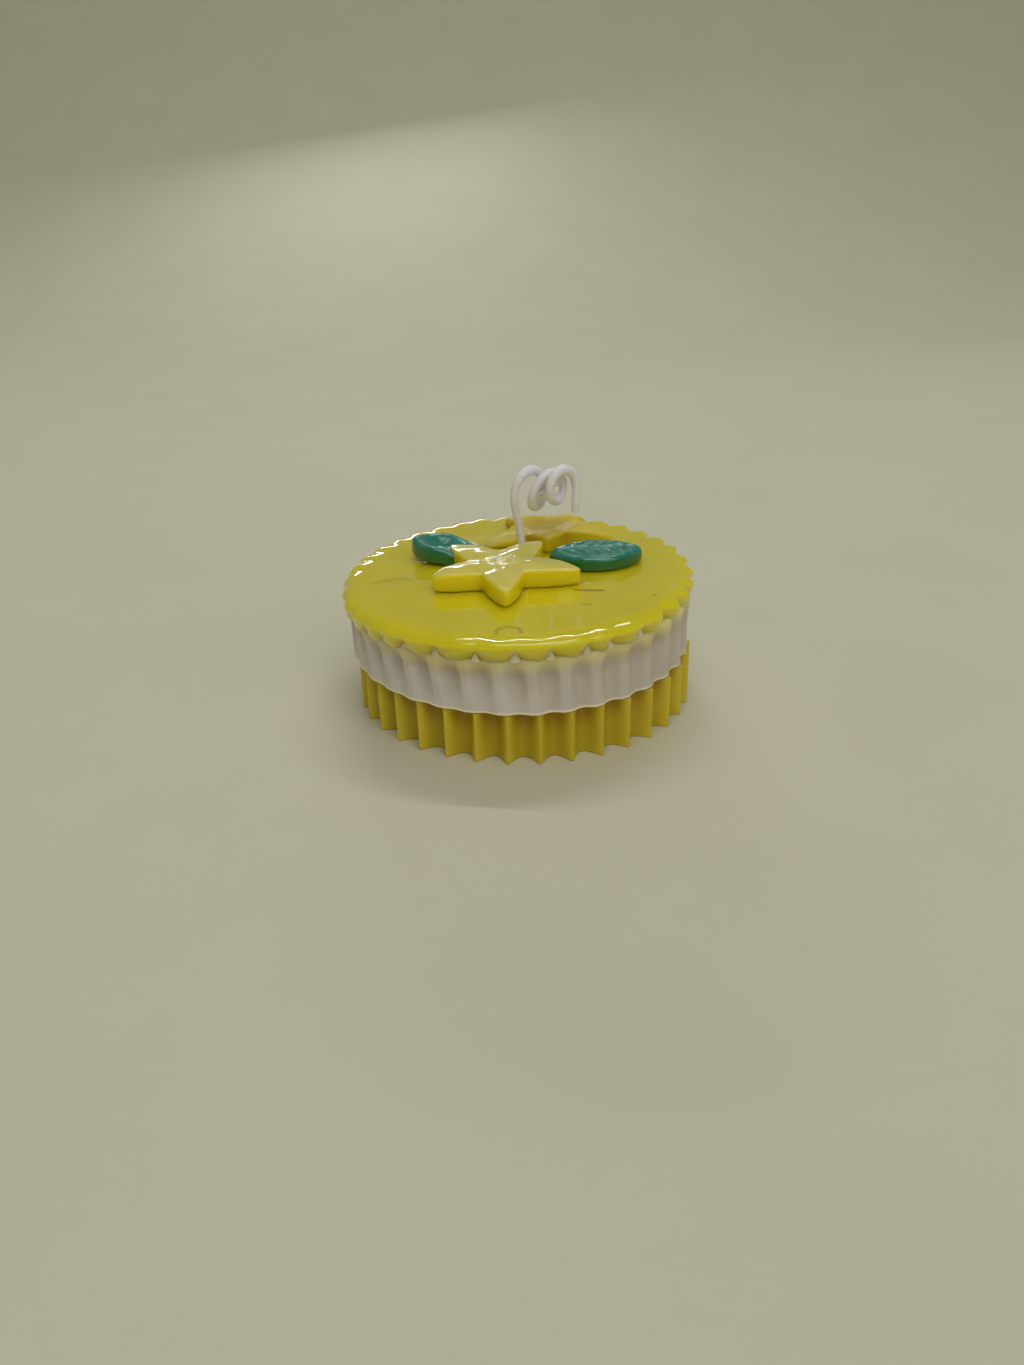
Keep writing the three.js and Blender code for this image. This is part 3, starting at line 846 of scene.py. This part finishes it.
def star_radius(turn, reach, reaches):
    """Radius of the star's outline at a turn from its first petal, in degrees."""
    pitch = 360 / PETALS
    petal = round(turn / pitch)
    off = radians(abs(turn - pitch * petal))
    tip = Vector((reach * reaches[petal % PETALS], 0.0))
    foot = Vector((STAR_WAIST * cos(pi / PETALS), STAR_WAIST * sin(pi / PETALS)))
    low, high = 0.0, 1.0
    for _ in range(30):
        share = (low + high) / 2
        point = tip.lerp(foot, share) + Vector((0.0, PETAL_SWELL * sin(pi * share)))
        low, high = (share, high) if atan2(point.y, point.x) < off else (low, share)
    return (tip.lerp(foot, low) + Vector((0.0, PETAL_SWELL * sin(pi * low)))).length


def model_star(name, star, sizes):
    """Models a star from a ring: outline, wall, rounded rim, cambered petals and a dotted boss or a dish."""
    reach, thickness = sizes.star_reach / MM, sizes.star_thickness / MM
    most = reach * max(star["reaches"])
    piece = start_ring(name, PETALS * PETAL_POINTS, most, 0.0, turn=-90.0)

    def inset(x, y, z):
        return most - star_radius(degrees(atan2(y, x)) % 360, reach, star["reaches"])

    draw_in(piece, 1.0, inset)
    foot_lift, low_wall, rim = 0.35, 1.6, ((0.4, 0.995), (0.25, 0.978), (0.1, 0.955))
    high_wall = thickness - foot_lift - low_wall - sum(lift for lift, _ in rim)
    draw_casting(0.965, foot_lift, ((low_wall, 1.0), (high_wall, 1.0), *rim), STAR_TOP_SHARES)
    bpy.ops.mesh.select_all(action="SELECT")
    bpy.ops.mesh.vertices_smooth(factor=0.5, repeat=2, zaxis=False)
    close_up()
    refine(piece, 2)

    def top_relief(x, y, z):
        if z < thickness - 0.9:
            return 0.0
        out, turn = hypot(x, y), atan2(y, x)
        camber = 0.3 * cos(PETALS * turn) * smooth(2.5, 8.0, out) * smooth(17.0, 12.0, out)
        rough = 0.1 * wander(x, y, 0.0, 2.5, star["right"])
        if star["dish"]:
            return camber + rough - star["dish"] * smooth(9.0, 2.0, out)
        boss = BOSS_HEIGHT * smooth(3.4, 0.6, out) + 0.3 * exp(-out ** 2)
        boss += 0.22 * wander(x, y, 0.0, 1.0, 8.1) * smooth(5.0, 2.5, out)
        ring = exp(-((out - DOT_RING_RADIUS) / DOT_WIDTH) ** 2)
        return camber + rough + boss + DOT_HEIGHT * ring * max(cos(PETALS * (turn + 0.2)), 0.0) ** 4

    def settled(x, y, z):
        """Lays the star on the gel's face, with drooping tips, and the rear one low at its back and left."""
        out = min(hypot(x - star["right"], y - star["back"]) / reach, 1.0)
        fall = star["tip_fall"] * out ** 2
        fall += star["sink"] * smooth(23.0, 35.0, y) * lerp(0.5, 1.0, smooth(-8.0, 15.0, x))
        fall += star["sink"] * 1.1 * smooth(4.0, -3.0, x) * smooth(24.0, 20.0, y)
        return plane_height(CROWN, x, y) - fall * min(z / thickness, 1.0) - 0.15 * smooth(1.5, 0.0, z)

    push(piece, "Z", top_relief)
    place(piece, star)
    push(piece, "Z", settled)
    return piece


class CANDLE_OT_stars(bpy.types.Operator):
    """Models the two wax stars, the rear one sunk at its back and hollow in its middle"""
    bl_idname = "candle.stars"
    bl_label = "Stars"

    def execute(self, context):
        material = star_wax(context.scene.candle_colours)
        for name, star in (("front_star", FRONT_STAR), ("rear_star", REAR_STAR)):
            piece = model_star(name, star, context.scene.candle_sizes)
            finish_piece(piece, material, f"{name}_flower")
        return {"FINISHED"}


LEAF_POINTS = 48
LEAF_SHARPNESS = 1.35
RIB_WIDTH, VEIN_SLANT, VEIN_SPACING = 0.55, 0.85, 2.7
LEAF_TOP_SHARES = (0.82, 0.74, 0.65, 0.56, 0.46, 0.36, 0.25, 0.14, 0.05)
# How high a leaf's crown, edge, outer end, veins and rolled rim rise and how deep its cup is, in millimetres,
# and how much painted highlight its veins show.
RIGHT_LEAF = {"length": 22.0, "width": 14.0, "thickness": 3.5, "crown": 0.3, "edge": 0.0, "outer": 0.0,
              "right": 17.4, "back": 1.8, "turn": 2.0, "veins": 0.5, "cup": 0.0, "roll": 0.0, "shine": 0.85}
LEFT_LEAF = {"length": 18.0, "width": 13.0, "thickness": 3.3, "crown": 0.0, "edge": 1.0, "outer": 1.2,
             "right": -18.0, "back": 8.4, "turn": -8.0, "veins": 0.04, "cup": 1.5, "roll": 0.4, "shine": 0.0}


def model_leaf(name, leaf):
    """Models a leaf from a ring: lens outline, wall, rounded rim, pressed veins."""
    half_length, half_width, thickness = leaf["length"] / 2, leaf["width"] / 2, leaf["thickness"]
    piece = start_ring(name, LEAF_POINTS, half_length, 0.0, turn=-90.0)

    def slimmed(x, y, z):
        side = abs(y) / half_length
        return (half_width * side ** LEAF_SHARPNESS - abs(y)) * (1 if y > 0 else -1)

    push(piece, "Y", slimmed)
    rings = [(rise * thickness, scale) for rise, scale in (
        (0.28, 1.0), (0.28, 0.995), (0.17, 0.97), (0.1, 0.955), (0.05, 0.94))]
    draw_casting(0.95, 0.12 * thickness, rings, LEAF_TOP_SHARES)
    close_up()
    refine(piece, 3)

    def out_at(x, y):
        return min(hypot(x / half_length, y / half_width), 1.0)

    def veins(x, y):
        """Height share of the midrib and of the wavering side veins at a place."""
        out = out_at(x, y)
        rib = exp(-(y / RIB_WIDTH) ** 2) * smooth(1.0, 0.8, out)
        slant = (x - VEIN_SLANT * abs(y)) / VEIN_SPACING + 0.25 * (1 if y > 0 else 0)
        slant += 0.35 * wander(x, y, 0.0, 3.0, half_width)
        side = max(cos(2 * pi * slant), 0.0) ** 4 * smooth(0.8, 0.6, out) * smooth(0.3, 1.2, abs(y))
        return 1.1 * rib + side * (0.8 + 0.4 * wander(x, y, 0.0, 2.0, 7.7))

    def shine(x, y, z):
        """Share of the painted highlight on the veins, in patches, and less at the left."""
        on_veins = smooth(0.3, 0.8, veins(x, y)) * smooth(0.8, 1.0, z / thickness)
        patches = lerp(0.35, 1.0, smooth(-5.0, 4.0, x)) * smooth(-0.3, 0.1, wander(x, y, 0.0, 1.6, 5.3))
        return leaf["shine"] * on_veins * patches

    def pressed(x, y, z):
        out = out_at(x, y)
        top = smooth(0.55 * thickness, 0.95 * thickness, z)
        raised = smooth(4.0, -2.5, x)
        body = leaf["edge"] * raised * out ** 2 + leaf["outer"] * max(-x / half_length, 0.0) ** 2
        body *= 0.4 + 0.6 * min(z / thickness, 1.0)
        roll = leaf["roll"] * raised * exp(-((out - 0.78) / 0.16) ** 2)
        if leaf["roll"]:
            roll -= 0.6 * smooth(0.0, 5.0, x)
        body += (leaf["crown"] * (1 - out ** 2) + roll - leaf["cup"] * smooth(0.72, 0.25, out)) * top
        grain = 0.35 * wander(x, y, 0.0, 1.3, half_length) * smooth(0.9, 0.75, out)
        return body + top * leaf["veins"] * (veins(x, y) + grain - 0.25)

    paint(piece, "veins", shine)
    push(piece, "Z", pressed)
    place(piece, leaf)
    push(piece, "Z", lambda x, y, z: plane_height(CROWN, x, y) - 0.1)
    return piece


class CANDLE_OT_leaves(bpy.types.Operator):
    """Models the two green leaves, one crowned and veined, one cupped"""
    bl_idname = "candle.leaves"
    bl_label = "Leaves"

    def execute(self, context):
        material = leaf_wax(context.scene.candle_colours)
        finish_piece(model_leaf("veined_leaf", RIGHT_LEAF), material, "right_leaf")
        finish_piece(model_leaf("cupped_leaf", LEFT_LEAF), material, "left_leaf")
        return {"FINISHED"}


# Wick

WICK_FOOT = 0.8
WICK_TAIL = 6.4
STEM_POINTS = 5
CURL_TURN, CURL_RISE, CURL_RIGHT, CURL_TURNS = -39.0, 7.5, 2.2, 2.5
CURL_RADIUS = 4.1
CURL_CLEARANCE = 7.1
POINTS_PER_CURL = 12
# How far along the curls, their radius and their lift, at each top and bottom in turn.
CURL_STATIONS = ((-3.0, 4.1, 0.0), (0.0, 4.1, 0.0), (1.8, 4.1, 0.0), (6.2, 3.7, -0.3), (7.6, 3.2, 0.45),
                 (9.3, 3.9, 0.2), (11.1, 4.1, 0.0))
# Where along the curls the wax has gathered, in turns, and by what share it thickens the wick.
WICK_LUMPS = ((0.0, 0.3), (0.3, 0.2), (0.55, 0.4), (1.05, 0.35), (1.5, 0.3), (2.0, 0.35), (2.2, 0.1))
LUMP_TURNS = 0.12


def between_stations(share):
    """Smooth line through the curl's stations, each given by how far along, radius and lift."""
    points = [Vector(s) for s in CURL_STATIONS]
    points = [2 * points[0] - points[1]] + points + [2 * points[-1] - points[-2]]
    at = share * (len(CURL_STATIONS) - 1)
    i = min(int(at), len(CURL_STATIONS) - 2)
    t = at - i
    a, b, c, d = points[i:i + 4]
    bend, swing = 2 * a - 5 * b + 4 * c - d, 3 * b - a - 3 * c + d
    return 0.5 * (2 * b + (c - a) * t + bend * t ** 2 + swing * t ** 3)


def turned_at(step):
    """Turns that the wick has made at a step of its curls, counted from the first top."""
    return step / POINTS_PER_CURL - 0.25


def wick_route(sizes):
    """The points that the wick follows, in millimetres: up the discs, round the curls and down its end."""
    wick_radius = sizes.wick_diameter / 2 / MM
    top = plane_height(CROWN, *WICK_PLACE)
    star_top = top + FIT_GAP + sizes.star_thickness / MM
    heights = (WICK_FOOT, WICK_FOOT + 2 * wick_radius, (WICK_FOOT + top) / 2, top, star_top)
    points = [Vector((*WICK_PLACE, z)) for z in heights]
    turn, rise = radians(CURL_TURN), radians(CURL_RISE)
    along = Vector((cos(turn) * cos(rise), sin(turn) * cos(rise), sin(rise)))
    side = Vector((-sin(turn), cos(turn), 0.0))
    axis = Vector((CURL_RIGHT, WICK_PLACE[1], star_top + CURL_CLEARANCE + wick_radius + CURL_RADIUS))
    for step in range(int(CURL_TURNS * POINTS_PER_CURL) + 1):
        turned = turned_at(step)
        advance, radius, lift = between_stations((2 * turned + 1) / (len(CURL_STATIONS) - 1))
        point = axis + along * advance + side * (radius * sin(turned * 2 * pi))
        point.z += lift + radius * cos(turned * 2 * pi)
        points.append(point)
    last = points[-1]
    return points + [last - Vector((0, 0, WICK_TAIL - 2 * wick_radius)), last - Vector((0, 0, WICK_TAIL))]


class CANDLE_OT_wick(bpy.types.Operator):
    """Lays the waxed cotton wick along its route, as one smooth cord"""
    bl_idname = "candle.wick"
    bl_label = "Wick"

    def execute(self, context):
        sizes = context.scene.candle_sizes
        route = wick_route(sizes)
        take()
        bpy.ops.curve.primitive_bezier_curve_add(location=(0, 0, 0))
        piece = context.object
        name_piece(piece, "wick_cord")
        curve = piece.data
        curve.splines.clear()
        spline = curve.splines.new("BEZIER")
        spline.bezier_points.add(len(route) - 1)
        for index, (point, at) in enumerate(zip(spline.bezier_points, route)):
            point.co = at * MM
            point.handle_left_type = "AUTO"
            point.handle_right_type = "AUTO"
            turned = turned_at(index - STEM_POINTS)
            lump = sum(size * exp(-((turned - middle) / LUMP_TURNS) ** 2) for middle, size in WICK_LUMPS)
            point.radius = 0.93 + 0.05 * noise.noise(Vector((index * 0.8, 4.0, 1.0))) + lump
        curve.dimensions = "3D"
        curve.resolution_u = 10
        curve.bevel_depth = sizes.wick_diameter / 2
        curve.bevel_resolution = 4
        curve.use_fill_caps = True
        dress(piece, wick_cotton(context.scene.candle_colours), "wick")
        return {"FINISHED"}


class CANDLE_OT_wick_film(bpy.types.Operator):
    """Spans the film of wax that hardened across the wick's first curl"""
    bl_idname = "candle.wick_film"
    bl_label = "Wick film"

    def execute(self, context):
        half = POINTS_PER_CURL // 2
        curl = wick_route(context.scene.candle_sizes)[STEM_POINTS + half:][:POINTS_PER_CURL + 1]
        take()
        bpy.ops.mesh.primitive_grid_add(x_subdivisions=half, y_subdivisions=8, size=1.0, location=(0, 0, 0))
        piece = context.object
        name_piece(piece, "wick_film")
        for vertex in piece.data.vertices:
            step = round((vertex.co.x + 0.5) * half)
            vertex.co = curl[step].lerp(curl[step + half], vertex.co.y + 0.5) * MM
        take(piece)
        modifier = piece.modifiers.new("thick", "SOLIDIFY")
        modifier.thickness = 1.5 * MM
        modifier.offset = 0.0
        bpy.ops.object.modifier_apply(modifier=modifier.name)
        refine(piece, 2)
        push(piece, "NORMAL", lambda x, y, z: 0.12 * wander(x, y, z, 1.6, 4.4))
        finish_piece(piece, bpy.data.materials["waxed_cotton_braided"], "wick")
        return {"FINISHED"}


class CANDLE_OT_tab(bpy.types.Operator):
    """Gives the stamped tab under the base its metal"""
    bl_idname = "candle.tab"
    bl_label = "Wick tab"

    def execute(self, context):
        metal = tinplate()
        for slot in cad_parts["wick_tab"].material_slots:
            slot.material = metal
        return {"FINISHED"}


# Stage, in metres

FLOOR_SIZE, FLOOR_MIDDLE, FLOOR_BACK, BACKDROP_HEIGHT, SWEEP_RADIUS = 3.4, -0.2, 1.4, 1.6, 0.8
SKY_STRENGTH = 0.59
# Place, aim, size, power and tint of each soft lamp.
SOFTBOXES = {
    "top_softbox": ((0.1, -0.7, 1.4), (0, 0.1, 0.02), (1.2, 0.8), 6.9, (1.0, 0.995, 0.98)),
    "front_softbox": ((0.7, -1.2, 0.9), (0, 0, 0.02), (1.0, 0.8), 3.2, (1.0, 0.99, 0.98)),
    "line_lamp": ((0.075, 0.55, 1.05), (0, 0, 0.03), (0.76, 0.022), 2.2, (1.0, 1.0, 1.0)),
    "rim_strip": ((-0.2, 1.2, 0.41), (0, 0, 0.03), (0.35, 0.03), 0.7, (1.0, 1.0, 1.0)),
}


def look_from_photo(camera):
    """Puts the camera where it stood, with its slight roll."""
    level = cos(CAMERA_PITCH)
    forward = Vector((sin(CAMERA_YAW) * level, cos(CAMERA_YAW) * level, -sin(CAMERA_PITCH)))
    right = Vector((cos(CAMERA_YAW), -sin(CAMERA_YAW), 0.0))
    up = right.cross(forward)
    across = right * cos(CAMERA_ROLL) + up * sin(CAMERA_ROLL)
    upward = up * cos(CAMERA_ROLL) - right * sin(CAMERA_ROLL)
    turned = Matrix((across, upward, -forward)).transposed().to_4x4()
    camera.matrix_world = Matrix.Translation(CAMERA_PLACE) @ turned


def select_edges(piece, chosen):
    """Selects the edges whose points are all chosen by their place."""
    sheet = bmesh.from_edit_mesh(piece.data)
    for edge in sheet.edges:
        edge.select_set(all(chosen(v.co) for v in edge.verts))
    bmesh.update_edit_mesh(piece.data)


class CANDLE_OT_stage(bpy.types.Operator):
    """Sets the pale floor that curves up behind, soft studio lamps and the camera"""
    bl_idname = "candle.stage"
    bl_label = "Stage"

    def execute(self, context):
        scene = context.scene
        take()
        bpy.ops.mesh.primitive_plane_add(size=FLOOR_SIZE, location=(0, FLOOR_MIDDLE, 0))
        floor = context.object
        floor.name = "floor_sweep"
        apply_place()
        bpy.ops.object.mode_set(mode="EDIT")
        bpy.ops.mesh.select_mode(type="EDGE")
        select_edges(floor, lambda co: co.y > FLOOR_BACK)
        bpy.ops.mesh.extrude_region_move(TRANSFORM_OT_translate={"value": (0, 0, BACKDROP_HEIGHT)})
        select_edges(floor, lambda co: co.y > FLOOR_BACK and co.z < BACKDROP_HEIGHT / 2)
        bpy.ops.mesh.bevel(offset=SWEEP_RADIUS, segments=24, affect="EDGES")
        bpy.ops.object.mode_set(mode="OBJECT")
        bpy.ops.object.shade_smooth()
        floor.data.materials.append(painted_board(scene.candle_colours))

        world = bpy.data.worlds.new("soft_daylight")
        scene.world = world
        world.use_nodes = True
        sky = world.node_tree.nodes["Background"]
        sky.inputs["Color"].default_value = rgba("#f4f2ec")
        sky.inputs["Strength"].default_value = SKY_STRENGTH

        for name, (stand, aim, size, power, tint) in SOFTBOXES.items():
            bpy.ops.object.light_add(type="AREA", location=stand)
            lamp = context.object
            lamp.name = name
            lamp.data.shape = "RECTANGLE"
            lamp.data.size, lamp.data.size_y = size
            lamp.data.energy = power
            lamp.data.color = tint
            lamp.rotation_euler = (Vector(aim) - Vector(stand)).to_track_quat("-Z", "Y").to_euler()

        bpy.ops.object.camera_add(location=CAMERA_PLACE)
        camera = context.object
        camera.name = "photo_camera"
        camera.data.sensor_fit = "HORIZONTAL"
        camera.data.sensor_width = 36
        camera.data.lens = CAMERA_LENS
        camera.data.clip_start = 0.01
        look_from_photo(camera)
        scene.camera = camera
        scene.view_settings.view_transform = "Standard"
        return {"FINISHED"}


OPERATORS = (
    CANDLE_OT_stage, CANDLE_OT_wick, CANDLE_OT_wick_film, CANDLE_OT_base_disc, CANDLE_OT_white_disc,
    CANDLE_OT_gel_disc, CANDLE_OT_cusps, CANDLE_OT_stars, CANDLE_OT_leaves, CANDLE_OT_tab,
)


class CANDLE_PT_panel(bpy.types.Panel):
    bl_label = "Star candle"
    bl_idname = "CANDLE_PT_panel"
    bl_space_type = "VIEW_3D"
    bl_region_type = "UI"
    bl_category = "Candle"

    def draw(self, context):
        for group in (context.scene.candle_sizes, context.scene.candle_colours):
            for name in group.__annotations__:
                self.layout.prop(group, name)
        for operator in OPERATORS:
            self.layout.operator(operator.bl_idname)


CLASSES = (CandleSizes, CandleColours, *OPERATORS, CANDLE_PT_panel)


def register():
    for item in CLASSES:
        bpy.utils.register_class(item)
    bpy.types.Scene.candle_sizes = bpy.props.PointerProperty(type=CandleSizes)
    bpy.types.Scene.candle_colours = bpy.props.PointerProperty(type=CandleColours)


def unregister():
    del bpy.types.Scene.candle_colours
    del bpy.types.Scene.candle_sizes
    for item in reversed(CLASSES):
        bpy.utils.unregister_class(item)


def main():
    register()
    bpy.ops.candle.stage()
    bpy.ops.candle.wick()
    bpy.ops.candle.wick_film()
    bpy.ops.candle.base_disc()
    bpy.ops.candle.white_disc()
    bpy.ops.candle.gel_disc()
    bpy.ops.candle.cusps()
    bpy.ops.candle.stars()
    bpy.ops.candle.leaves()
    bpy.ops.candle.tab()


if __name__ == "__main__":
    main()
